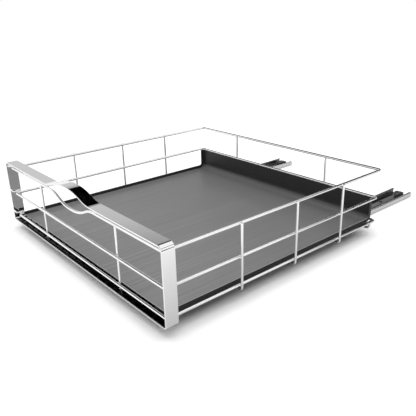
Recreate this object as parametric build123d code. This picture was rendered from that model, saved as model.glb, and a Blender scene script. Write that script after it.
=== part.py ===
from build123d import *
import math
import os

# Pull-out cabinet organizer: a chrome wire basket on two flat-lying ball-bearing slides.
# +X is right, +Y is towards the back of the cabinet, +Z is up, all in millimetres.
# The origin is the centre of the hole pattern of the two cabinet members, on the cabinet floor.
# The basket stands partly pulled out: its inner slide stage is open and its outer one has just begun.

# Slides, whose sections are given by half widths from their own centre line
SLIDE_LENGTH = 457.0
SLIDE_CENTRE_X = 170.4
SLIDE_HEIGHT = 12.7
SLIDE_SHEET = 1.2
CHANNEL_CORNER = 1.6
OUTER_PULLED = 3.0
INNER_PULLED = 222.0

CABINET_HALF = 22.7
CABINET_TOP = 10.0
CABINET_SLOT = 18.3
MOUNT_HOLE_Y = 146.0
MOUNT_HOLE_D = 4.5

MIDDLE_HALF = 17.7
MIDDLE_BOTTOM = 2.6
MIDDLE_TOP = 10.6
MIDDLE_SLOT = 13.6
MIDDLE_FRONT_GAP = 2.5
MIDDLE_REAR_GAP = 0.5
MIDDLE_SLANT = 58.0
ACCESS_HOLE_D = 8.0

DRAWER_HALF = 13.0
DRAWER_BOTTOM = 5.2
DRAWER_SLOT = 10.0

BALLS_PER_ROW = 8
BALL_PITCH = 19.0
CAGE_LENGTH = 160.0
CAGE_SHEET = 0.8
OUTER_BALL_D = 3.6
OUTER_BALL_X = 19.6
OUTER_BALL_Z = 5.4
OUTER_CAGE_Y = -32.0
OUTER_CAGE_BOTTOM = 1.5
OUTER_CAGE_TOP = 8.0
INNER_BALL_D = 3.3
INNER_BALL_X = 14.75
INNER_BALL_Z = 7.2
INNER_CAGE_Y = -114.5
INNER_CAGE_BOTTOM = 4.1
INNER_CAGE_TOP = 9.0

STOP_TOP = 9.5
STOP_OUTLINE = [(-8, 214), (-5, 220.5), (9.4, 220.5), (9.4, 185.5)]
STOP_RIVET_SPOTS = [(2, 213), (5.5, 201)]
STOP_RIVET_D = 3.0
BUFFER_LENGTH = 12.0
BUFFER_WIDTH = 14.0
BUFFER_THICK = 1.0

# Basket sizes, measured from the front face (Y) and the bottom (Z) of its frame
FRAME_WIDTH = 508.0
FRAME_HEIGHT = 118.4
STRAP_DEPTH = 20.5
STRAP = 2.5
STRAP_EDGE = 0.45
TOP_CORNER = 8.5
BOTTOM_CORNER = 5.0
FRAME_AHEAD = 24.8
FRAME_LIFT = 15.5

ARCH_RISE = 12.9
ARCH_FLAT = 3.0
ARCH_HALF = 76.0
DIP_DEPTH = 15.8
DIP_FLAT = 3.0
DIP_HALF = 72.0
OUTER_BEND_SHARE = 0.36

RAIL_WIRE_D = 4.6
CROSS_WIRE_D = 4.2
FLOOR_WIRE_D = 2.8
WELD_BITE = 0.1

TOP_RIM_Z = 106.2
MIDDLE_RAIL_Z = 54.8
BOTTOM_RAIL_Z = 10.0
RAIL_X = 245.0
RAIL_FRONT_Y = 8.0
RAIL_REAR_Y = 479.9
RAIL_BEND = 5.0
SPACER_Y = 13.0
UPRIGHT_X = 125.0
SIDE_HOOP_Y = {"front": 137.5, "centre": 253.6, "rear": 367.8}
SIDE_HOOP_BEND = 4.5
HOOP_TIP_RISE = 1.5

FLOOR_WIRE_PITCH = 25.0
FLOOR_WIRE_COUNT = 20

HOOK_WIRE_Y = 457.0
HOOK_BEND = 6.0
HOOK_TIP_Z = 11.5

TRAY_SHEET = 0.8
TRAY_HALF_WIDTH = 239.0
TRAY_FRONT_Y = 14.6
TRAY_REAR_Y = 477.2
TRAY_SIDE_LIP = 7.9
TRAY_FRONT_LIP = 2.8
TRAY_EDGE_BEND = 2.0
TRAY_REAR_BEND = 13.0
TRAY_REAR_TOP_Z = 54.4

CLAMP_WIDTH = 12.0
CLAMP_LENGTH = 22.0
CLAMP_SHEET = 0.8
CLAMP_SCREW_SPACING = 14.4
SCREW_D = 4.0
SCREW_HEAD_D = 7.0
SCREW_HEAD = 2.2
SCREW_RECESS = 1.2
SCREW_TIP_Z = 10.8
HOLE_PLAY = 0.1

# Worked out from the sizes above
HALF_SLIDE = SLIDE_LENGTH / 2
PULLED_OUT = OUTER_PULLED + INNER_PULLED
FRAME_Y = -HALF_SLIDE - FRAME_AHEAD - PULLED_OUT
FLOOR_WIRE_Z = BOTTOM_RAIL_Z - (RAIL_WIRE_D + FLOOR_WIRE_D) / 2 + WELD_BITE
CROSS_RUN_Z = FLOOR_WIRE_Z - (FLOOR_WIRE_D + CROSS_WIRE_D) / 2 + WELD_BITE
TRAY_BOTTOM_Z = FLOOR_WIRE_Z + FLOOR_WIRE_D / 2
WIRE_STEP = (RAIL_WIRE_D + CROSS_WIRE_D) / 2 - WELD_BITE
RIM_REAR_Y = RAIL_REAR_Y + WIRE_STEP
RIM_UNDERSIDE_Z = TOP_RIM_Z - RAIL_WIRE_D / 2 + WELD_BITE
CLAMP_Y = [SIDE_HOOP_Y["front"], SIDE_HOOP_Y["centre"], HOOK_WIRE_Y]
MIDDLE_FRONT_Y = MIDDLE_FRONT_GAP - HALF_SLIDE - OUTER_PULLED
MIDDLE_REAR_Y = HALF_SLIDE - MIDDLE_REAR_GAP - OUTER_PULLED
SIDES = {"left": -1, "right": 1}


# Helpers

def rod(points, diameter, bend=0.0):
    """A round bar along a list of points, with arcs of one radius at its corners."""
    path = FilletPolyline(*points, radius=bend) if bend else Line(*points)
    start = Plane(origin=path @ 0, z_dir=path % 0)
    return sweep(start * Circle(diameter / 2), path=path)


def in_basket(shape):
    """Moves a shape from the basket's own sizes to its place in the part."""
    return Pos(0, FRAME_Y, FRAME_LIFT) * shape


def section(x_from, x_to, z_from, z_to, corner=0.0):
    """A rectangle seen along Y, with rounded corners if asked for."""
    width, height = x_to - x_from, z_to - z_from
    flat = RectangleRounded(width, height, corner) if corner else Rectangle(width, height)
    centre = ((x_from + x_to) / 2, 0, (z_from + z_to) / 2)
    return Plane(origin=centre, x_dir=(1, 0, 0), z_dir=(0, -1, 0)) * flat


def push_along_y(face, y_from, y_to):
    return Pos(0, y_from, 0) * extrude(face, amount=y_to - y_from, dir=(0, 1, 0))


def drill(shape, spots, diameter):
    """Upright holes right through the shape."""
    for x, y in spots:
        shape -= Pos(x, y, SLIDE_HEIGHT / 2) * Cylinder(diameter / 2, 2 * SLIDE_HEIGHT)
    return shape


def write(node, shape):
    """Writes one sub-part, which may be several separate solids."""
    shapes = shape if isinstance(shape, list) else [shape]
    solids = [solid for item in shapes for solid in item.solids()]
    body = solids[0] if len(solids) == 1 else Compound(children=solids)
    body.label = node
    export_step(body, f"parts/{node}.step")
    print(f"{node}: {len(solids)} solids, {sum(s.volume for s in solids):.0f} mm3")


# Front frame and its grip

def s_bend(start, end, share):
    """Two arcs that join two level stretches, the first of which takes the given share."""
    turn = (start[0] + share * (end[0] - start[0]), start[1], start[2] + share * (end[2] - start[2]))
    way = 1 if end[0] > start[0] else -1
    first = TangentArc(start, turn, tangent=(way, 0, 0))
    second = TangentArc(turn, end, tangent=first % 1)
    return [first, second]


def strap_along(edges):
    """Flat strap with softened edges, swept along a path in the frame's plane."""
    path = Wire(edges)
    start = Plane(origin=path @ 0, x_dir=(0, 1, 0), z_dir=path % 0)
    return sweep(start * RectangleRounded(STRAP_DEPTH, STRAP, STRAP_EDGE), path=path)


def front_frame_band():
    """The closed front loop, whose top bar arches up over the finger opening."""
    y = STRAP_DEPTH / 2
    side = FRAME_WIDTH / 2 - STRAP / 2
    low, high = STRAP / 2, FRAME_HEIGHT - STRAP / 2
    crown = high + ARCH_RISE
    top_bend, low_bend = TOP_CORNER - STRAP / 2, BOTTOM_CORNER - STRAP / 2
    edges = [
        Line((0, y, low), (low_bend - side, y, low)),
        TangentArc((low_bend - side, y, low), (-side, y, low + low_bend), tangent=(-1, 0, 0)),
        Line((-side, y, low + low_bend), (-side, y, high - top_bend)),
        TangentArc((-side, y, high - top_bend), (top_bend - side, y, high), tangent=(0, 0, 1)),
        Line((top_bend - side, y, high), (-ARCH_HALF, y, high)),
        *s_bend((-ARCH_HALF, y, high), (-ARCH_FLAT, y, crown), OUTER_BEND_SHARE),
        Line((-ARCH_FLAT, y, crown), (ARCH_FLAT, y, crown)),
        *s_bend((ARCH_FLAT, y, crown), (ARCH_HALF, y, high), 1 - OUTER_BEND_SHARE),
        Line((ARCH_HALF, y, high), (side - top_bend, y, high)),
        TangentArc((side - top_bend, y, high), (side, y, high - top_bend), tangent=(1, 0, 0)),
        Line((side, y, high - top_bend), (side, y, low + low_bend)),
        TangentArc((side, y, low + low_bend), (side - low_bend, y, low), tangent=(0, 0, -1)),
        Line((side - low_bend, y, low), (0, y, low)),
    ]
    return strap_along(edges)


def frame_spacers():
    """Short bars that join the three wire loops to the inner faces of the frame's uprights."""
    near, far = RAIL_X + RAIL_WIRE_D / 2, FRAME_WIDTH / 2 - STRAP
    levels = (BOTTOM_RAIL_Z, MIDDLE_RAIL_Z, TOP_RIM_Z)
    ends = [((way * near, SPACER_Y, z), (way * far, SPACER_Y, z)) for way in (-1, 1) for z in levels]
    return [rod(pair, CROSS_WIRE_D) for pair in ends]


# Basket wires

def loop_half(front_run, z, rear):
    """The right half of a level wire loop, which starts with the given front run."""
    middle = rear / 2
    rear_half = [(RAIL_X, middle, z), (RAIL_X, rear, z), (0, rear, z)]
    corner = (RAIL_X - RAIL_BEND, RAIL_FRONT_Y, z)
    path = Wire([
        *front_run,
        Line(front_run[-1] @ 1, corner),
        TangentArc(corner, (RAIL_X, RAIL_FRONT_Y + RAIL_BEND, z), tangent=(1, 0, 0)),
        Line((RAIL_X, RAIL_FRONT_Y + RAIL_BEND, z), (RAIL_X, middle, z)),
    ])
    start = Plane(origin=path @ 0, z_dir=path % 0)
    return sweep(start * Circle(RAIL_WIRE_D / 2), path=path) + rod(rear_half, RAIL_WIRE_D, RAIL_BEND)


def closed_loop(front_run, z, rear):
    right = loop_half(front_run, z, rear)
    return right + mirror(right, about=Plane.YZ)


def rail_loop(z):
    """A closed wire just inside the front frame and round the basket."""
    return closed_loop([Line((0, RAIL_FRONT_Y, z), (DIP_HALF, RAIL_FRONT_Y, z))], z, RAIL_REAR_Y)


def top_rim_loop():
    """The top loop, whose front run dips below the arch to leave room for the fingers."""
    y, low = RAIL_FRONT_Y, TOP_RIM_Z - DIP_DEPTH
    dip = s_bend((DIP_FLAT, y, low), (DIP_HALF, y, TOP_RIM_Z), 1 - OUTER_BEND_SHARE)
    return closed_loop([Line((0, y, low), (DIP_FLAT, y, low)), *dip], TOP_RIM_Z, RIM_REAR_Y)


def wire_hoop(y, low, tip, bend):
    """A wire outside the two side rails, down one side, across and up the other."""
    x = RAIL_X + WIRE_STEP
    points = [(-x, y, tip), (-x, y, low), (x, y, low), (x, y, tip)]
    return rod(points, CROSS_WIRE_D, bend)


def upright_pair(y, low, top):
    return [rod([(x, y, low), (x, y, top)], CROSS_WIRE_D) for x in (-UPRIGHT_X, UPRIGHT_X)]


def floor_wires():
    """Thin wires from front to back, welded under the bottom loop and on the cross runs."""
    first = -(FLOOR_WIRE_COUNT - 1) / 2 * FLOOR_WIRE_PITCH
    spots = [first + index * FLOOR_WIRE_PITCH for index in range(FLOOR_WIRE_COUNT)]
    z = FLOOR_WIRE_Z
    return [rod([(x, RAIL_FRONT_Y, z), (x, RAIL_REAR_Y, z)], FLOOR_WIRE_D) for x in spots]


# Lift-out tray

def tray_profile(inset, rise, top):
    """A band of even depth, seen from the side, that follows the floor and the rear wall."""
    rear, low, front = TRAY_REAR_Y - inset, TRAY_BOTTOM_Z + inset, TRAY_FRONT_Y + inset
    bend = TRAY_REAR_BEND + TRAY_SHEET - inset
    outline = Polyline((0, rear - rise, top), (0, rear, top), (0, rear, low + bend))
    outline += TangentArc((0, rear, low + bend), (0, rear - bend, low), tangent=(0, 0, -1))
    outline += Polyline((0, rear - bend, low), (0, front, low), (0, front, low + rise))
    outline += Line((0, front, low + rise), (0, rear - bend, low + rise))
    outline += TangentArc((0, rear - bend, low + rise), (0, rear - rise, low + bend), tangent=(0, 1, 0))
    outline += Line((0, rear - rise, low + bend), (0, rear - rise, top))
    return make_face(outline)


def is_folded(edge, half, inset, top):
    """True for the outside edges where the sheet is folded: both long sides and the front."""
    spot = edge @ 0.5
    rear, low, front = TRAY_REAR_Y - inset, TRAY_BOTTOM_Z + inset, TRAY_FRONT_Y + inset
    bend = TRAY_REAR_BEND + TRAY_SHEET - inset
    near = 0.01
    at_floor = abs(spot.Z - low) < near and spot.Y > front + near
    at_wall = abs(spot.Y - rear) < near and spot.Z < top - near
    at_bend = abs(math.hypot(spot.Y - rear + bend, spot.Z - low - bend) - bend) < near
    at_front = abs(spot.Y - front) < near and abs(spot.Z - low) < near and abs(spot.X) < near
    on_side = abs(abs(spot.X) - half) < near
    return (on_side and (at_floor or at_wall or at_bend)) or at_front


def tray_block(inset, rise, top):
    """The tray's filled shape, pulled in by the inset, with its folded edges rounded."""
    half = TRAY_HALF_WIDTH - inset
    block = Pos(-half, 0, 0) * extrude(tray_profile(inset, rise, top), amount=2 * half, dir=(1, 0, 0))
    folds = [edge for edge in block.edges() if is_folded(edge, half, inset, top)]
    return fillet(folds, TRAY_EDGE_BEND + TRAY_SHEET - inset)


def liner_tray():
    """One folded sheet: a floor with low lips, and a rear wall up to the middle rail."""
    rise = TRAY_SHEET + TRAY_SIDE_LIP
    tray = tray_block(0, rise, TRAY_REAR_TOP_Z) - tray_block(TRAY_SHEET, rise, TRAY_REAR_TOP_Z + 1)
    front_top = TRAY_BOTTOM_Z + TRAY_SHEET + TRAY_FRONT_LIP
    half = TRAY_HALF_WIDTH - TRAY_SHEET - TRAY_EDGE_BEND
    trim = Box(2 * half, 2 * TRAY_EDGE_BEND, TRAY_SIDE_LIP, align=(Align.CENTER, Align.CENTER, Align.MIN))
    return tray - Pos(0, TRAY_FRONT_Y, front_top) * trim


# Clamps that hold the basket on the drawer members

def slide_clamps(side):
    """Saddle blocks that stand on the slide, each with a wire through it and a screw on each side."""
    wire_z = CROSS_RUN_Z + FRAME_LIFT
    outer = CROSS_WIRE_D / 2 + CLAMP_SHEET
    lying = Rot(0, 90, 0)
    foot = Pos(0, 0, SLIDE_HEIGHT + CLAMP_SHEET / 2) * Box(CLAMP_WIDTH, CLAMP_LENGTH, CLAMP_SHEET)
    block = Pos(0, 0, (SLIDE_HEIGHT + wire_z) / 2) * Box(CLAMP_WIDTH, 2 * outer, wire_z - SLIDE_HEIGHT)
    crown = Pos(0, 0, wire_z) * lying * Cylinder(outer, CLAMP_WIDTH)
    bore = Pos(0, 0, wire_z) * lying * Cylinder(CROSS_WIRE_D / 2, 2 * CLAMP_WIDTH)
    spots = [(0, -CLAMP_SCREW_SPACING / 2), (0, CLAMP_SCREW_SPACING / 2)]
    clamp = drill(foot + block + crown - bore, spots, SCREW_D + 2 * HOLE_PLAY)
    return [Pos(side * SLIDE_CENTRE_X, FRAME_Y + y, 0) * clamp for y in CLAMP_Y]


def clamp_screw_places():
    return [FRAME_Y + y + way * CLAMP_SCREW_SPACING / 2 for y in CLAMP_Y for way in (-1, 1)]


def clamp_screws():
    """Low-headed screws with a cross recess, two for each clamp."""
    seat = SLIDE_HEIGHT + CLAMP_SHEET
    head = Pos(0, 0, seat + SCREW_HEAD / 2) * Cylinder(SCREW_HEAD_D / 2, SCREW_HEAD)
    head = fillet(head.edges().group_by(Axis.Z)[-1], 0.4 * SCREW_HEAD)
    slot = Box(0.9, 0.5 * SCREW_HEAD_D, SCREW_RECESS)
    recess = Pos(0, 0, seat + SCREW_HEAD - SCREW_RECESS / 2) * (slot + Rot(0, 0, 90) * slot)
    shank = Pos(0, 0, (seat + SCREW_TIP_Z) / 2) * Cylinder(SCREW_D / 2, seat - SCREW_TIP_Z)
    screw = head - recess + shank
    spots = [(side * SLIDE_CENTRE_X, y, 0) for side in SIDES.values() for y in clamp_screw_places()]
    return [Pos(*spot) * screw for spot in spots]


# Slides, each made about its own centre line

def channel(half, low, high, slot, opens_up):
    """A folded channel section whose lips turn in round its open side."""
    outer = section(-half, half, low, high, CHANNEL_CORNER)
    inner = section(SLIDE_SHEET - half, half - SLIDE_SHEET, low + SLIDE_SHEET, high - SLIDE_SHEET,
                    CHANNEL_CORNER - SLIDE_SHEET)
    mouth = (high - 2 * SLIDE_SHEET, high + 1) if opens_up else (low - 1, low + 2 * SLIDE_SHEET)
    return outer - inner - section(-slot, slot, *mouth)


def cabinet_member():
    """The outer channel, with its two mounting holes and the rivet holes of the stop block."""
    profile = channel(CABINET_HALF, 0, CABINET_TOP, CABINET_SLOT, True)
    member = push_along_y(profile, -HALF_SLIDE, HALF_SLIDE)
    member = drill(member, [(0, -MOUNT_HOLE_Y), (0, MOUNT_HOLE_Y)], MOUNT_HOLE_D)
    return drill(member, STOP_RIVET_SPOTS, STOP_RIVET_D)


def middle_member():
    """The channel between the other two, whose access holes stand over the mounting holes."""
    profile = channel(MIDDLE_HALF, MIDDLE_BOTTOM, MIDDLE_TOP, MIDDLE_SLOT, True)
    member = push_along_y(profile, MIDDLE_FRONT_Y, MIDDLE_REAR_Y)
    near_end, beside, behind = MIDDLE_REAR_Y - MIDDLE_SLANT, 2 * MIDDLE_HALF, MIDDLE_REAR_Y + 1
    offcut = [(-MIDDLE_HALF, MIDDLE_REAR_Y), (MIDDLE_HALF, near_end)]
    offcut += [(beside, near_end), (beside, behind), (-MIDDLE_HALF, behind)]
    member -= extrude(make_face(Polyline(*offcut, close=True)), amount=SLIDE_HEIGHT)
    return drill(member, [(0, -MOUNT_HOLE_Y), (0, MOUNT_HOLE_Y)], ACCESS_HOLE_D)


def drawer_member():
    """The inverted channel under the basket, drilled for the clamp screws."""
    profile = channel(DRAWER_HALF, DRAWER_BOTTOM, SLIDE_HEIGHT, DRAWER_SLOT, False)
    member = push_along_y(profile, -HALF_SLIDE - PULLED_OUT, HALF_SLIDE - PULLED_OUT)
    return drill(member, [(0, y) for y in clamp_screw_places()], SCREW_D + 2 * HOLE_PLAY)


def ball_places(y_centre):
    first = y_centre - (BALLS_PER_ROW - 1) / 2 * BALL_PITCH
    return [first + index * BALL_PITCH for index in range(BALLS_PER_ROW)]


def ball_rows(x, y_centre, z, diameter):
    return [Pos(way * x, y, z) * Sphere(diameter / 2) for way in (-1, 1) for y in ball_places(y_centre)]


def ball_cage(x, y_centre, bottom, top, ball_z, ball_d):
    """A thin folded strip whose two sides hold a row of balls each."""
    half = x + CAGE_SHEET / 2
    profile = section(-half, half, bottom, top)
    profile -= section(CAGE_SHEET - half, half - CAGE_SHEET, bottom + CAGE_SHEET, top + 1)
    cage = push_along_y(profile, y_centre - CAGE_LENGTH / 2, y_centre + CAGE_LENGTH / 2)
    for y in ball_places(y_centre):
        cage -= Pos(0, y, ball_z) * Rot(0, 90, 0) * Cylinder(ball_d / 2 + HOLE_PLAY / 2, 3 * x)
    return cage


def stop_block():
    """The block that the middle member closes against, its face on the same slant."""
    block = extrude(make_face(Polyline(*STOP_OUTLINE, close=True)), amount=STOP_TOP - SLIDE_SHEET)
    block = Pos(0, 0, SLIDE_SHEET) * block
    block = chamfer(block.edges().group_by(Axis.Z)[-1], 0.5)
    return drill(block, STOP_RIVET_SPOTS, STOP_RIVET_D)


def stop_rivets():
    """Two rivets through the block and the cabinet member, flush at both ends."""
    upright = (Align.CENTER, Align.CENTER, Align.MIN)
    return [Pos(x, y, 0) * Cylinder(STOP_RIVET_D / 2, STOP_TOP, align=upright) for x, y in STOP_RIVET_SPOTS]


def middle_buffer():
    """The soft pad on the front end of the middle member, where its ball cage stops."""
    low = MIDDLE_BOTTOM + SLIDE_SHEET
    spot = Pos(0, MIDDLE_FRONT_Y + BUFFER_LENGTH / 2, low + BUFFER_THICK / 2)
    pad = spot * Box(BUFFER_WIDTH, BUFFER_LENGTH, BUFFER_THICK)
    return fillet(pad.edges().group_by(Axis.Z)[-1], 0.4 * BUFFER_THICK)


def write_slide(name, side):
    place = Pos(side * SLIDE_CENTRE_X, 0, 0)
    write(f"{name}_cabinet_member", place * cabinet_member())
    write(f"{name}_middle_member", place * middle_member())
    write(f"{name}_drawer_member", place * drawer_member())
    outer = (OUTER_CAGE_BOTTOM, OUTER_CAGE_TOP, OUTER_BALL_Z, OUTER_BALL_D)
    inner = (INNER_CAGE_BOTTOM, INNER_CAGE_TOP, INNER_BALL_Z, INNER_BALL_D)
    write(f"{name}_outer_ball_cage", place * ball_cage(OUTER_BALL_X, OUTER_CAGE_Y, *outer))
    write(f"{name}_inner_ball_cage", place * ball_cage(INNER_BALL_X, INNER_CAGE_Y, *inner))
    outer_balls = ball_rows(OUTER_BALL_X, OUTER_CAGE_Y, OUTER_BALL_Z, OUTER_BALL_D)
    inner_balls = ball_rows(INNER_BALL_X, INNER_CAGE_Y, INNER_BALL_Z, INNER_BALL_D)
    write(f"{name}_outer_balls", [place * ball for ball in outer_balls])
    write(f"{name}_inner_balls", [place * ball for ball in inner_balls])
    write(f"{name}_stop_block", place * stop_block())
    write(f"{name}_stop_rivets", [place * rivet for rivet in stop_rivets()])
    write(f"{name}_middle_buffer", place * middle_buffer())
    write(f"{name}_slide_clamps", slide_clamps(side))


# The whole part

os.makedirs("parts", exist_ok=True)
write("front_frame_band", in_basket(front_frame_band()))
write("frame_spacers", [in_basket(bar) for bar in frame_spacers()])
write("top_rim_wire", in_basket(top_rim_loop()))
write("middle_rail_wire", in_basket(rail_loop(MIDDLE_RAIL_Z)))
write("bottom_rail_wire", in_basket(rail_loop(BOTTOM_RAIL_Z)))
for place_name, hoop_y in SIDE_HOOP_Y.items():
    hoop = wire_hoop(hoop_y, CROSS_RUN_Z, TOP_RIM_Z + HOOP_TIP_RISE, SIDE_HOOP_BEND)
    write(f"{place_name}_side_hoop", in_basket(hoop))
front_uprights = upright_pair(RAIL_FRONT_Y + WIRE_STEP, STRAP, TOP_RIM_Z + HOOP_TIP_RISE)
rear_uprights = upright_pair(RIM_REAR_Y, BOTTOM_RAIL_Z - RAIL_WIRE_D / 2, RIM_UNDERSIDE_Z)
write("front_upright_wires", [in_basket(wire) for wire in front_uprights])
write("rear_upright_wires", [in_basket(wire) for wire in rear_uprights])
write("floor_wires", [in_basket(wire) for wire in floor_wires()])
write("rear_hook_wire", in_basket(wire_hoop(HOOK_WIRE_Y, CROSS_RUN_Z, HOOK_TIP_Z, HOOK_BEND)))
write("liner_tray", in_basket(liner_tray()))
write("clamp_screws", clamp_screws())
for side_name, side_sign in SIDES.items():
    write_slide(side_name, side_sign)
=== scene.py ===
# %% [markdown]
# # A pull-out cabinet organizer: chrome wire on two ball-bearing slides
#
# This notebook dresses a finished engineering model. The model already holds every real piece, at its
# real size: the strap frame, the wires, the folded liner and the two slides with their balls. Blender
# never moves or reshapes them. What is left to do is the work of a finisher: polish, plating, grease,
# weld beads, and the studio that they are seen in.
#
# The first cell loads that model, moves each piece's place into its mesh, and removes the empties that
# held the pieces, so every piece stands alone at its real place.

# %% Load the engineering model
import bpy
import bmesh
import math
from mathutils import Matrix, Vector, noise


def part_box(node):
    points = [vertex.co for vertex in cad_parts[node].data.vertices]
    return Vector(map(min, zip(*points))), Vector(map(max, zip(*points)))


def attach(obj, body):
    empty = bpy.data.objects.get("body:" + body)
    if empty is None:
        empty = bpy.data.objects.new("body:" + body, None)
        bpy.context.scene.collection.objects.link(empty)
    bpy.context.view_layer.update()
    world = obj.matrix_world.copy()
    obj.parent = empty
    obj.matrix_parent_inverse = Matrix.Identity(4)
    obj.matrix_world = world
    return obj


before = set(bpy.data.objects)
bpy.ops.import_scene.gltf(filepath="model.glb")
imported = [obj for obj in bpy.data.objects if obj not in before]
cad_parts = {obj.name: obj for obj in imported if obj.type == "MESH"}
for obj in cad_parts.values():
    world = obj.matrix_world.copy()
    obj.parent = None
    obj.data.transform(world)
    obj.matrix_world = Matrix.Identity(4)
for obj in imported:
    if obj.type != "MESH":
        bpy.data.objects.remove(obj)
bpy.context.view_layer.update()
MM = 0.001
print("pieces from the engineering model:", len(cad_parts))

# %% [markdown]
# ## Small tools for building finishes
#
# A finish is a graph of nodes: patterns feed the colour, the roughness and the bump of one shader. It
# could be drawn by hand in the shader editor. In a script, helpers that add one node each and wire it up
# keep the graphs short enough to read. They work on a material and on the world alike, because each of
# them owns a node tree.

# %% Helpers that add nodes and feed them
def opaque(colour):
    return (*colour, 1)


def grey(tone):
    return (tone, tone, tone)


def add(owner, kind, **settings):
    """A node of that kind, with its sockets or properties set by name."""
    node = owner.node_tree.nodes.new(kind)
    for name, value in settings.items():
        label = name.replace("_", " ").title()
        if label in node.inputs:
            node.inputs[label].default_value = value
        else:
            setattr(node, name, value)
    return node


def feed(owner, value, socket):
    """Links a pattern to a socket, or sets the socket to an even number or colour."""
    if isinstance(value, bpy.types.NodeSocket):
        owner.node_tree.links.new(value, socket)
    else:
        socket.default_value = value


def new_finish(name, colour, metallic):
    """A material and its one shader, with the even values on the shader's own sockets."""
    material = bpy.data.materials.new(name)
    material.use_nodes = True
    shader = material.node_tree.nodes["Principled BSDF"]
    shader.inputs["Base Color"].default_value = opaque(colour)
    shader.inputs["Metallic"].default_value = metallic
    return material, shader


METAL, NO_METAL = 1.0, 0.0
print("a metallic value of", METAL, "is bare metal and", NO_METAL, "is plastic or rubber")

# %% [markdown]
# ## Patterns of a real size
#
# Real surfaces are never even: polishing, rolling and brushing leave faint patches and lines. They could
# come from photographs wrapped round each piece, but those need unwrapping and blur close up. Noise is
# made from the place of each point instead, in metres on the real piece, so a scale of 1000 patches per
# metre means details of about one millimetre on every piece.

# %% Helpers for noise, roughness and bump
NOISE_LOW, NOISE_HIGH = 0.3, 0.7


def grain(material, stretch, detail):
    """Noise stretched over the piece: its scale along X, Y and Z is in patches per metre."""
    place = add(material, "ShaderNodeTexCoord")
    mapping = add(material, "ShaderNodeMapping", scale=stretch)
    pattern = add(material, "ShaderNodeTexNoise", scale=1.0, detail=detail)
    feed(material, place.outputs["Object"], mapping.inputs["Vector"])
    feed(material, mapping.outputs["Vector"], pattern.inputs["Vector"])
    return pattern.outputs["Fac"]


def remap(owner, value, start, end, low=0.0, high=1.0):
    """Turns the stretch from start to end into low to high, and stays there beyond it."""
    limits = add(owner, "ShaderNodeMapRange", from_min=start, from_max=end, to_min=low, to_max=high)
    feed(owner, value, limits.inputs["Value"])
    return limits.outputs["Result"]


def vary_roughness(material, shader, pattern, limits):
    """Roughness that follows a noise between two limits."""
    feed(material, remap(material, pattern, NOISE_LOW, NOISE_HIGH, *limits), shader.inputs["Roughness"])


def rough_up(material, shader, pattern, depth):
    """Bump of a real depth in metres."""
    bump = add(material, "ShaderNodeBump", strength=1.0, distance=depth)
    feed(material, pattern, bump.inputs["Height"])
    feed(material, bump.outputs["Normal"], shader.inputs["Normal"])


print("most of a noise lies between", NOISE_LOW, "and", NOISE_HIGH)

# %% Helpers that paint pieces
painted = []


def paint(material, *nodes):
    """Gives whole pieces of the engineering model one finish."""
    for node in nodes:
        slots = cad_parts[node].data.materials
        slots.clear()
        slots.append(material)
    painted.extend(nodes)
    print(material.name, "on", len(nodes), "pieces")


def both_sides(*names):
    return [f"{side}_{name}" for side in ("left", "right") for name in names]


print("pieces to paint:", len(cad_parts))

# %% [markdown]
# ## Masks
#
# Some pieces are not the same all over: a cut edge is brighter than the sheet, as bare metal and as a
# painted highlight, and a recess is painted dark as painted shade. The usual way is to select faces and
# give them a second material, but the engineering model's meshes stay as they are. A mask made of
# arithmetic does it within one material. It reads how a surface faces and where it lies, and it is one on
# the wanted faces and zero elsewhere.

# %% Helpers for masks
LEVEL = 0.95
MIX_FACTOR, MIX_FIRST, MIX_SECOND, MIX_RESULT = 0, 6, 7, 2


def calculate(owner, operation, *values):
    """One step of arithmetic on patterns and numbers."""
    node = add(owner, "ShaderNodeMath", operation=operation)
    for value, socket in zip(values, node.inputs):
        feed(owner, value, socket)
    return node.outputs["Value"]


def along(owner, kind, output, axis):
    """One axis of a vector that a node gives."""
    parts = add(owner, "ShaderNodeSeparateXYZ")
    feed(owner, add(owner, kind).outputs[output], parts.inputs["Vector"])
    return parts.outputs[axis]


def place_along(owner, axis):
    return along(owner, "ShaderNodeTexCoord", "Object", axis)


def faces_along(owner, axis):
    return along(owner, "ShaderNodeNewGeometry", "Normal", axis)


def level_mask(material, side, height):
    """One where a surface faces straight up and lies above or below a height."""
    level = calculate(material, "GREATER_THAN", faces_along(material, "Z"), LEVEL)
    in_reach = calculate(material, side, place_along(material, "Z"), height)
    return calculate(material, "MULTIPLY", level, in_reach)


def mix(owner, factor, first, second):
    """The first colour where the factor is zero, and the second where it is one."""
    node = add(owner, "ShaderNodeMix", data_type="RGBA")
    for value, place in ((factor, MIX_FACTOR), (first, MIX_FIRST), (second, MIX_SECOND)):
        feed(owner, value, node.inputs[place])
    return node.outputs[MIX_RESULT]


print("level faces lean less than", round(math.degrees(math.acos(LEVEL))), "degrees")

# %% [markdown]
# ## Polished chrome on the flat strap
#
# The front loop is flat steel strap, bent, polished and chrome plated. Chrome is almost a mirror, so
# most of its look comes from what stands around it, and the studio is built for that further down. A
# perfect mirror would look drawn. Two things keep it real: a faint unevenness left by the polishing
# wheel, which bends reflections a little, and a haze that makes the roughness vary. The upper face of the
# bottom bar is a narrow recess under the basket that no light reaches; that shade is painted into its
# colour, almost black.

# %% Chrome for the strap
band_low, band_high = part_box("front_frame_band")
STRAP_CHROME = (0.9, 0.9, 0.905)
STRAP_PAINTED_SHADE = grey(0.03)
STRAP_PAINTED_SHADE_HEIGHT = 4 * MM
STRAP_ROUGHNESS = (0.025, 0.055)
HAZE_PATCHES, HAZE_DETAIL = (70, 160, 160), 4.0
WHEEL_PATCHES, WHEEL_DETAIL = (45, 45, 45), 2.0
WHEEL_DEPTH = 0.02 * MM


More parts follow.
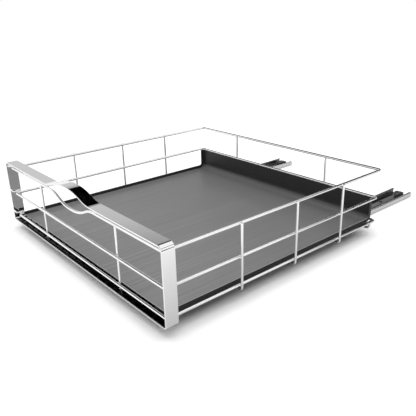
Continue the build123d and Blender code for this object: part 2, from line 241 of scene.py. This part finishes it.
def strap_chrome():
    material, shader = new_finish("strap_chrome", STRAP_CHROME, METAL)
    # painted shade: the upper face of the bottom bar is painted almost black
    recess = level_mask(material, "LESS_THAN", band_low.z + STRAP_PAINTED_SHADE_HEIGHT)
    colour = mix(material, recess, opaque(STRAP_CHROME), opaque(STRAP_PAINTED_SHADE))
    feed(material, colour, shader.inputs["Base Color"])
    vary_roughness(material, shader, grain(material, HAZE_PATCHES, HAZE_DETAIL), STRAP_ROUGHNESS)
    rough_up(material, shader, grain(material, WHEEL_PATCHES, WHEEL_DETAIL), WHEEL_DEPTH)
    return material


paint(strap_chrome(), "front_frame_band")
print("frame in metres:", [round(high - low, 4) for low, high in zip(band_low, band_high)])

# %% [markdown]
# ## Drawn and plated wire
#
# The wires were pulled through a die before they were bent, welded and plated together. Wire is thin, so
# at a normal distance only the line of light along it is seen. Its plating could be modelled in the mesh,
# but a bump of a few thousandths of a millimetre gives the same broken line of light at no cost. The
# roughness is a little higher than the strap's, which keeps that line calm. The floor wires lie close
# together under the tray, where nobody polishes them, so they get a duller coat, and the tray's shade is
# painted into their colour as a darker grey.

# %% Chrome for the wires
WIRES = ["top_rim_wire", "middle_rail_wire", "bottom_rail_wire", "front_side_hoop", "centre_side_hoop",
         "rear_side_hoop", "front_upright_wires", "rear_upright_wires", "rear_hook_wire", "frame_spacers"]
PLATING_PATCHES = 260
METAL_DETAIL = 3.0


def grained_finish(name, colour, patches, roughness, depth, metallic=METAL, detail=METAL_DETAIL):
    """A finish of one colour, whose roughness and bump follow the same small patches."""
    material, shader = new_finish(name, colour, metallic)
    pattern = grain(material, (patches, patches, patches), detail)
    vary_roughness(material, shader, pattern, roughness)
    rough_up(material, shader, pattern, depth)
    return material


wire_chrome = grained_finish("wire_chrome", (0.98, 0.98, 0.985), PLATING_PATCHES,
                             roughness=(0.04, 0.08), depth=0.006 * MM)
# painted shade: the floor wires' darker grey stands for the tray's shade; the higher roughness is a duller
# coat
dull_wire_painted_shade = grained_finish("dull_wire_painted_shade", (0.3, 0.3, 0.304), PLATING_PATCHES,
                           roughness=(0.22, 0.36), depth=0.01 * MM)
paint(wire_chrome, *WIRES)
paint(dull_wire_painted_shade, "floor_wires")

# %% [markdown]
# ## The folded liner
#
# The liner is thin sheet in a grey satin finish. One even grey would look like card. Fine streaks run
# from front to back, as brushing leaves them: they are noise squeezed across the tray and drawn out along
# it. Painted shade darkens the floor towards the rear, and the upright folds, which see little light, are
# painted almost black as painted shade. The cut edge of the sheet is lighter, as bare metal and as a
# painted highlight, and draws the thin line round the lips. Floor, folds and edge could have a material
# each, but the streaks would break at every fold. So the sheet keeps one material, whose colour passes
# through three masks in turn.

# %% Finish of the liner
liner_low, liner_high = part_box("liner_tray")
LINER_FLOOR = (0.31, 0.31, 0.313)
LINER_PAINTED_SHADE = (0.03, 0.03, 0.0305)
LINER_CUT_AND_HIGHLIGHT = (0.7, 0.7, 0.71)
LINER_METALLIC = 0.3
LINER_ROUGHNESS = (0.4, 0.5)
LIP_EDGE_HEIGHT = 1.8 * MM
REAR_PAINTED_SHADE_SHARE = 0.6
STREAK_PATCHES, STREAK_DETAIL = (240, 3, 240), 6.0
STREAK_DARK, STREAK_LIGHT = 0.82, 1.14
STREAK_DEPTH = 0.006 * MM
UPRIGHT_FROM, UPRIGHT_TO = 0.8, 0.2


def ramp(owner, value, stops):
    """A colour that runs through the stops, each of them a place from 0 to 1 and a colour."""
    node = add(owner, "ShaderNodeValToRGB")
    while len(node.color_ramp.elements) < len(stops):
        node.color_ramp.elements.new(0.5)
    for element, (place, colour) in zip(node.color_ramp.elements, stops):
        element.position = place
        element.color = opaque(colour)
    feed(owner, value, node.inputs["Fac"])
    return node.outputs["Color"]


def times(colour, share):
    return tuple(share * part for part in colour)


def liner_finish():
    material, shader = new_finish("liner_satin", LINER_FLOOR, LINER_METALLIC)
    streaks = grain(material, STREAK_PATCHES, STREAK_DETAIL)
    brushed = ramp(material, streaks, [(NOISE_LOW, times(LINER_FLOOR, STREAK_DARK)),
                                       (NOISE_HIGH, times(LINER_FLOOR, STREAK_LIGHT))])
    # painted shade: the floor is painted darker towards the rear
    painted_shade_to_rear = remap(material, place_along(material, "Y"), liner_low.y, liner_high.y)
    # painted shade: upright faces of the sheet are painted almost black
    upright = remap(material, faces_along(material, "Z"), UPRIGHT_FROM, UPRIGHT_TO)
    # the cut edge is painted lighter, as bare metal and as a painted highlight
    cut_edge_and_highlight = level_mask(material, "GREATER_THAN", liner_low.z + LIP_EDGE_HEIGHT)
    colour = mix(material, painted_shade_to_rear, brushed, opaque(times(LINER_FLOOR, REAR_PAINTED_SHADE_SHARE)))
    colour = mix(material, upright, colour, opaque(LINER_PAINTED_SHADE))
    colour = mix(material, cut_edge_and_highlight, colour, opaque(LINER_CUT_AND_HIGHLIGHT))
    feed(material, colour, shader.inputs["Base Color"])
    vary_roughness(material, shader, streaks, LINER_ROUGHNESS)
    rough_up(material, shader, streaks, STREAK_DEPTH)
    return material


paint(liner_finish(), "liner_tray")
print("liner in metres:", [round(high - low, 4) for low, high in zip(liner_low, liner_high)])

# %% [markdown]
# ## Zinc-plated slide members
#
# The slides are cold-rolled steel with a bright zinc plating. Rolling leaves lines along the whole
# length, so this noise is stretched along Y, and its bump is far shallower than the sheet is thick. The
# balls run in grease, and the walls shade the space between them, so everything between the walls of a
# slide is painted dark: painted shade, and grease. Grease could be a layer of its own mesh, but it is only
# a film, so a mask turns the zinc dark there and leaves the outer walls bright. Both slides share the
# mask, because it reads the distance from the middle of the cabinet without its sign.

# %% Finish of the slide members
slide_low, slide_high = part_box("right_cabinet_member")
SLIDE_CENTRE = (slide_low.x + slide_high.x) / 2
SHADE_AND_GREASE_SHARE = 0.9
SHADE_AND_GREASE_HALF = SHADE_AND_GREASE_SHARE * (slide_high.x - slide_low.x) / 2
SHADE_AND_GREASE_ZINC = (0.22, 0.22, 0.225)
ZINC_DARK, ZINC_LIGHT = (0.85, 0.86, 0.87), (0.92, 0.93, 0.94)
ZINC_ROUGHNESS = (0.14, 0.24)
ROLLED_PATCHES = (500, 8, 500)
ROLLED_DEPTH = 0.004 * MM


def shade_and_grease_mask(material):
    """One between the walls of either slide, which is painted dark as painted shade and grease."""
    aside = calculate(material, "ABSOLUTE", place_along(material, "X"))
    from_centre = calculate(material, "SUBTRACT", aside, SLIDE_CENTRE)
    distance = calculate(material, "ABSOLUTE", from_centre)
    return calculate(material, "LESS_THAN", distance, SHADE_AND_GREASE_HALF)


def slide_zinc():
    material, shader = new_finish("slide_zinc", ZINC_LIGHT, METAL)
    rolled = grain(material, ROLLED_PATCHES, METAL_DETAIL)
    plated = ramp(material, rolled, [(NOISE_LOW, ZINC_DARK), (NOISE_HIGH, ZINC_LIGHT)])
    # painted shade and grease: the zinc between the walls of a slide is painted dark
    colour = mix(material, shade_and_grease_mask(material), plated, opaque(SHADE_AND_GREASE_ZINC))
    feed(material, colour, shader.inputs["Base Color"])
    vary_roughness(material, shader, rolled, ZINC_ROUGHNESS)
    rough_up(material, shader, rolled, ROLLED_DEPTH)
    return material


paint(slide_zinc(), *both_sides("cabinet_member", "middle_member", "drawer_member"))
print("slide width in millimetres:", round((slide_high.x - slide_low.x) / MM, 1))

# %% [markdown]
# ## Cages, balls, clamps and screws
#
# These are mostly hidden, and could share one grey. They still get the finish of the real thing, because
# the slides open up when the basket moves: dull punched strip for the cages, hard polished balls, and
# tumbled steel for the clamps, screws and rivets.

# %% Finishes of the small steel pieces
TUMBLED_DEPTH = 0.01 * MM
cage_strip = grained_finish("cage_strip", (0.60, 0.60, 0.61), patches=500,
                            roughness=(0.3, 0.45), depth=TUMBLED_DEPTH)
ball_polish = grained_finish("ball_polish", (0.77, 0.77, 0.78), patches=900,
                             roughness=(0.03, 0.08), depth=TUMBLED_DEPTH)
clamp_steel = grained_finish("clamp_steel", (0.70, 0.70, 0.71), patches=600,
                             roughness=(0.25, 0.4), depth=TUMBLED_DEPTH)
screw_steel = grained_finish("screw_steel", (0.66, 0.66, 0.67), patches=900,
                             roughness=(0.2, 0.36), depth=TUMBLED_DEPTH)
paint(cage_strip, *both_sides("outer_ball_cage", "inner_ball_cage"))
paint(ball_polish, *both_sides("outer_balls", "inner_balls"))
paint(clamp_steel, *both_sides("slide_clamps"))
paint(screw_steel, "clamp_screws", *both_sides("stop_rivets"))

# %% [markdown]
# ## Moulded stop blocks and rubber buffers
#
# The stop blocks are black plastic, and moulded plastic takes a fine spark-eroded texture from its tool.
# The buffers are rubber, which is duller still. Grains that small would be far too many to model, so
# the same grained finish serves both, with no metal in it: the plastic has the finer patches, and the
# rubber the deeper bump.

# %% Finishes of plastic and rubber
MOULDED_DETAIL = 2.0
stop_plastic = grained_finish("stop_plastic", (0.018, 0.018, 0.019), patches=2600, roughness=(0.35, 0.49),
                              depth=0.02 * MM, metallic=NO_METAL, detail=MOULDED_DETAIL)
buffer_rubber = grained_finish("buffer_rubber", (0.03, 0.03, 0.031), patches=1800, roughness=(0.63, 0.77),
                               depth=0.03 * MM, metallic=NO_METAL, detail=MOULDED_DETAIL)
paint(stop_plastic, *both_sides("stop_block"))
paint(buffer_rubber, *both_sides("middle_buffer"))
print("pieces painted:", len(painted), "of", len(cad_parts))

# %% [markdown]
# ## Weld beads
#
# Where two wires cross, they are pressed together and fused by a spot of current. Each joint leaves a
# small bead in the corner between the wires, which the plating then covers. The engineering model has no
# beads, because they don't change how anything fits or moves. Their places could be typed in, but then
# they would be wrong as soon as a wire moves, so they are worked out from the wires' own boxes.

# %% Welds on the hoops and the hook
rim_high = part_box("top_rim_wire")[1]
middle_low, middle_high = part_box("middle_rail_wire")
bottom_low, bottom_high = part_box("bottom_rail_wire")
hook_low, hook_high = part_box("rear_hook_wire")
wire_radius = (middle_high.z - middle_low.z) / 2
rim_z = rim_high.z - wire_radius
middle_z = (middle_low.z + middle_high.z) / 2
bottom_z = (bottom_low.z + bottom_high.z) / 2
FLAT_X, FLAT_Y, FLAT_Z = (0.5, 1, 1), (1, 0.5, 1), (1, 1, 0.5)

weld_spots = []
for hoop in ("front_side_hoop", "centre_side_hoop", "rear_side_hoop"):
    hoop_low, hoop_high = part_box(hoop)
    for way in (-1, 1):
        for z in (rim_z, middle_z, bottom_z):
            weld_spots.append(((way * middle_high.x, (hoop_low.y + hoop_high.y) / 2, z), FLAT_X))
for way in (-1, 1):
    weld_spots.append(((way * middle_high.x, (hook_low.y + hook_high.y) / 2, bottom_z), FLAT_X))
print("welds on the hoops and the hook:", len(weld_spots))

# %% Welds on the uprights and the spacers
upright_low, upright_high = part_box("front_upright_wires")
spacer_low, spacer_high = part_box("frame_spacers")
spacer_y = (spacer_low.y + spacer_high.y) / 2
upright_radius = (spacer_high.y - spacer_low.y) / 2
upright_x = upright_high.x - upright_radius
inner_front_y = middle_low.y + 2 * wire_radius
for way in (-1, 1):
    for z in (rim_z, middle_z, bottom_z):
        weld_spots.append(((way * upright_x, inner_front_y, z), FLAT_Y))
        weld_spots.append(((way * spacer_high.x, spacer_y, z), FLAT_X))
    for z in (middle_z, bottom_z):
        weld_spots.append(((way * upright_x, middle_high.y, z), FLAT_Y))
    weld_spots.append(((way * upright_x, upright_low.y + upright_radius, upright_low.z), FLAT_Z))
    weld_spots.append(((way * upright_x, rim_high.y - wire_radius, rim_z - wire_radius), FLAT_Z))
print("welds in all:", len(weld_spots))

# %% [markdown]
# ## Shaping the beads
#
# A plain ball at each crossing would look like a bead on a string. A real bead is a small lens of metal,
# a little lumpy. So each one starts as a sphere made of small triangles, its points are pushed in and
# out by a noise, and it is pressed flat along the way in which the wires touch. The noise is read at the
# bead's own place, so no two are alike and every run gives the same ones. All beads are one mesh, as one
# coat of plating covers them.

# %% Beads as one piece that rides on the basket
BEAD_RADIUS = 2.6 * MM
BEAD_FACETING = 3
BEAD_UNEVEN = 0.35 * MM
LUMP_SCALE = 1.6
LUMP_SHIFT = 500


def weld_beads(name, spots):
    mesh = bmesh.new()
    for spot, flat in spots:
        centre = Vector(spot)
        ball = bmesh.ops.create_icosphere(mesh, subdivisions=BEAD_FACETING, radius=BEAD_RADIUS)
        for vertex in ball["verts"]:
            outward = vertex.co.normalized()
            lump = noise.noise(outward * LUMP_SCALE + centre * LUMP_SHIFT)
            point = vertex.co + outward * lump * BEAD_UNEVEN
            vertex.co = centre + Vector([part * share for part, share in zip(point, flat)])
    for face in mesh.faces:
        face.smooth = True
    data = bpy.data.meshes.new(name)
    mesh.to_mesh(data)
    mesh.free()
    piece = bpy.data.objects.new(name, data)
    bpy.context.scene.collection.objects.link(piece)
    return piece


beads = weld_beads("weld_beads", weld_spots)
beads.data.materials.append(wire_chrome)
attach(beads, "basket")
print("faces on the beads:", len(beads.data.polygons))

# %% [markdown]
# ## The studio floor
#
# The object stands on a plain white sheet that fades into a white room. More light would whiten the
# floor and wash out the object, so the camera's own rays see the sheet a little brighter than white
# instead. All other rays, which light and mirror the object, see white far away and a painted shade of
# grey beside and under the basket. Without that painted shade, the chrome would mirror nothing but white
# there.

# %% Floor
FLOOR_HALF = 6.0
FLOOR_Z = -0.1 * MM
FLOOR_SEEN = 1.2
FLOOR_SHADED, FLOOR_OPEN = 0.6, 1.0
SHADED_X, OPEN_X = 0.27, 0.5
SHADED_Y, OPEN_Y = -0.45, -0.53


def floor_white():
    material = bpy.data.materials.new("floor_white")
    material.use_nodes = True
    material.node_tree.nodes.clear()
    out = add(material, "ShaderNodeOutputMaterial")
    matte = add(material, "ShaderNodeBsdfDiffuse")
    ray = add(material, "ShaderNodeLightPath")
    # painted shade: the floor is grey beside and under the basket for the rays that light and mirror the
    # object
    from_middle = calculate(material, "ABSOLUTE", place_along(material, "X"))
    beside = remap(material, from_middle, SHADED_X, OPEN_X, FLOOR_SHADED, FLOOR_OPEN)
    ahead = remap(material, place_along(material, "Y"), SHADED_Y, OPEN_Y, FLOOR_SHADED, FLOOR_OPEN)
    mirrored = calculate(material, "MAXIMUM", beside, ahead)
    colour = mix(material, ray.outputs["Is Camera Ray"], mirrored, opaque(grey(FLOOR_SEEN)))
    feed(material, colour, matte.inputs["Color"])
    feed(material, matte.outputs["BSDF"], out.inputs["Surface"])
    return material


def studio_floor():
    data = bpy.data.meshes.new("studio_floor")
    corners = [(-FLOOR_HALF, -FLOOR_HALF, 0), (FLOOR_HALF, -FLOOR_HALF, 0), (FLOOR_HALF, FLOOR_HALF, 0),
               (-FLOOR_HALF, FLOOR_HALF, 0)]
    data.from_pydata(corners, [], [(0, 1, 2, 3)])
    data.materials.append(floor_white())
    floor = bpy.data.objects.new("studio_floor", data)
    bpy.context.scene.collection.objects.link(floor)
    floor.location.z = FLOOR_Z


studio_floor()
print("floor in metres:", 2 * FLOOR_HALF, "by", 2 * FLOOR_HALF)

# %% [markdown]
# ## The sky of light
#
# A wide, soft sky lights the scene. It is far brighter overhead than at the horizon, as under one big
# softbox, so upright faces come out darker than level ones. Lamps could do that too, but they leave hard
# spots of light on chrome.
#
# What chrome mirrors is set apart from what lights the scene, because a mirror needs something dark to
# show its shape. Boards are set up all round, each a ramp from the horizon, 0, to straight up, 1. In
# front is a white board with black above it. Straight behind, white and black boards take turns. At
# the back left a white foot runs into a light grey wall and then into black, and at the back right a
# white wall has one black strip high up. Far to the right, white stands over black. A bend in the strap
# sweeps through several of them, which gives it the black and white stripes of plated metal.

# %% Heights and tones of the mirrored boards
FRONT = [(0.0, 1.0), (0.48, 1.0), (0.56, 0.0)]
RIGHT = [(0.0, 0.0), (0.33, 0.0), (0.40, 1.0)]
BACK_LEFT = [(0.0, 1.0), (0.12, 1.0), (0.22, 0.64), (0.33, 0.62), (0.38, 0.54), (0.43, 0.34), (0.465, 0.0)]
BACK_CENTRE = [(0.0, 1.0), (0.10, 1.0), (0.14, 0.0), (0.325, 0.0), (0.345, 1.0), (0.40, 1.0), (0.43, 0.0),
               (0.62, 0.0), (0.65, 1.0)]
BACK_RIGHT = [(0.0, 1.0), (0.585, 1.0), (0.60, 0.0), (0.65, 0.0), (0.665, 1.0)]
LEFT_END, RIGHT_START = -0.46, -0.41
ASIDE_END, CENTRE_START = 0.68, 0.74
BACK_END, FAR_RIGHT_START = 0.82, 0.86
BEHIND_END, FRONT_START = 0.15, -0.1
print("mirrored boards:", len([FRONT, RIGHT, BACK_LEFT, BACK_CENTRE, BACK_RIGHT]))

# %% Sky
LIGHT_LOW, LIGHT_OVERHEAD = 0.03, 2.25
OVERHEAD_POWER = 2.6
BACKDROP = grey(1.0)


def boards(world, up, stops):
    return ramp(world, up, [(height, grey(tone)) for height, tone in stops])


def mirrored_studio(world, right, back, up):
    """The boards that chrome mirrors, picked by where a ray goes."""
    to_right = remap(world, right, LEFT_END, RIGHT_START)
    to_centre = remap(world, back, ASIDE_END, CENTRE_START)
    to_far_right = remap(world, right, BACK_END, FAR_RIGHT_START)
    to_front = remap(world, back, BEHIND_END, FRONT_START)
    seen = mix(world, to_right, boards(world, up, BACK_LEFT), boards(world, up, BACK_RIGHT))
    seen = mix(world, to_centre, seen, boards(world, up, BACK_CENTRE))
    seen = mix(world, to_far_right, seen, boards(world, up, RIGHT))
    return mix(world, to_front, seen, boards(world, up, FRONT))


def studio_sky():
    world = bpy.data.worlds.new("studio_sky")
    bpy.context.scene.world = world
    world.use_nodes = True
    world.node_tree.nodes.clear()
    right, back, up = [along(world, "ShaderNodeTexCoord", "Generated", axis) for axis in "XYZ"]
    overhead = calculate(world, "POWER", remap(world, up, 0.0, 1.0), OVERHEAD_POWER)
    light = remap(world, overhead, 0.0, 1.0, LIGHT_LOW, LIGHT_OVERHEAD)
    ray = add(world, "ShaderNodeLightPath")
    colour = mix(world, ray.outputs["Is Glossy Ray"], light, mirrored_studio(world, right, back, up))
    colour = mix(world, ray.outputs["Is Camera Ray"], colour, opaque(BACKDROP))
    background = add(world, "ShaderNodeBackground")
    out = add(world, "ShaderNodeOutputWorld")
    feed(world, colour, background.inputs["Color"])
    feed(world, background.outputs["Background"], out.inputs["Surface"])


studio_sky()
bpy.context.scene.view_settings.view_transform = "Standard"
print("light at the horizon and overhead:", LIGHT_LOW, LIGHT_OVERHEAD)

# %% [markdown]
# ## The camera
#
# The view is the one that shows the front, the right side and the inside at once. The camera stands to
# the right of the front and looks down a little, with a slight tilt to one side. Its place is measured
# from the frame's lower front edge, so it follows the object if the model moves. It could be aimed at
# a target, but three plain angles say the same in numbers that can be checked.

# %% Camera
CAMERA_FROM_FRAME = Vector((704.8, -304.2, 379.8)) * MM
CAMERA_AZIMUTH = 50.02
CAMERA_DOWN = 21.49
CAMERA_ROLL = 1.40
CAMERA_LENS = 43.84
CAMERA_SENSOR = 36.0
CAMERA_NEAR, CAMERA_FAR = 0.01, 50.0


def studio_camera():
    data = bpy.data.cameras.new("studio_camera")
    camera = bpy.data.objects.new("studio_camera", data)
    bpy.context.scene.collection.objects.link(camera)
    data.sensor_width = CAMERA_SENSOR
    data.lens = CAMERA_LENS
    data.clip_start = CAMERA_NEAR
    data.clip_end = CAMERA_FAR
    around, down = math.radians(CAMERA_AZIMUTH), math.radians(CAMERA_DOWN)
    ahead = Vector((-math.sin(around) * math.cos(down), math.cos(around) * math.cos(down), -math.sin(down)))
    level = ahead.to_track_quat("-Z", "Y").to_matrix()
    tilt = Matrix.Rotation(math.radians(CAMERA_ROLL), 3, ahead)
    place = CAMERA_FROM_FRAME + Vector((0, band_low.y, band_low.z))
    camera.matrix_world = Matrix.Translation(place) @ (tilt @ level).to_4x4()
    bpy.context.scene.camera = camera
    return camera


camera = studio_camera()
print("camera at", [round(v, 3) for v in camera.matrix_world.translation])
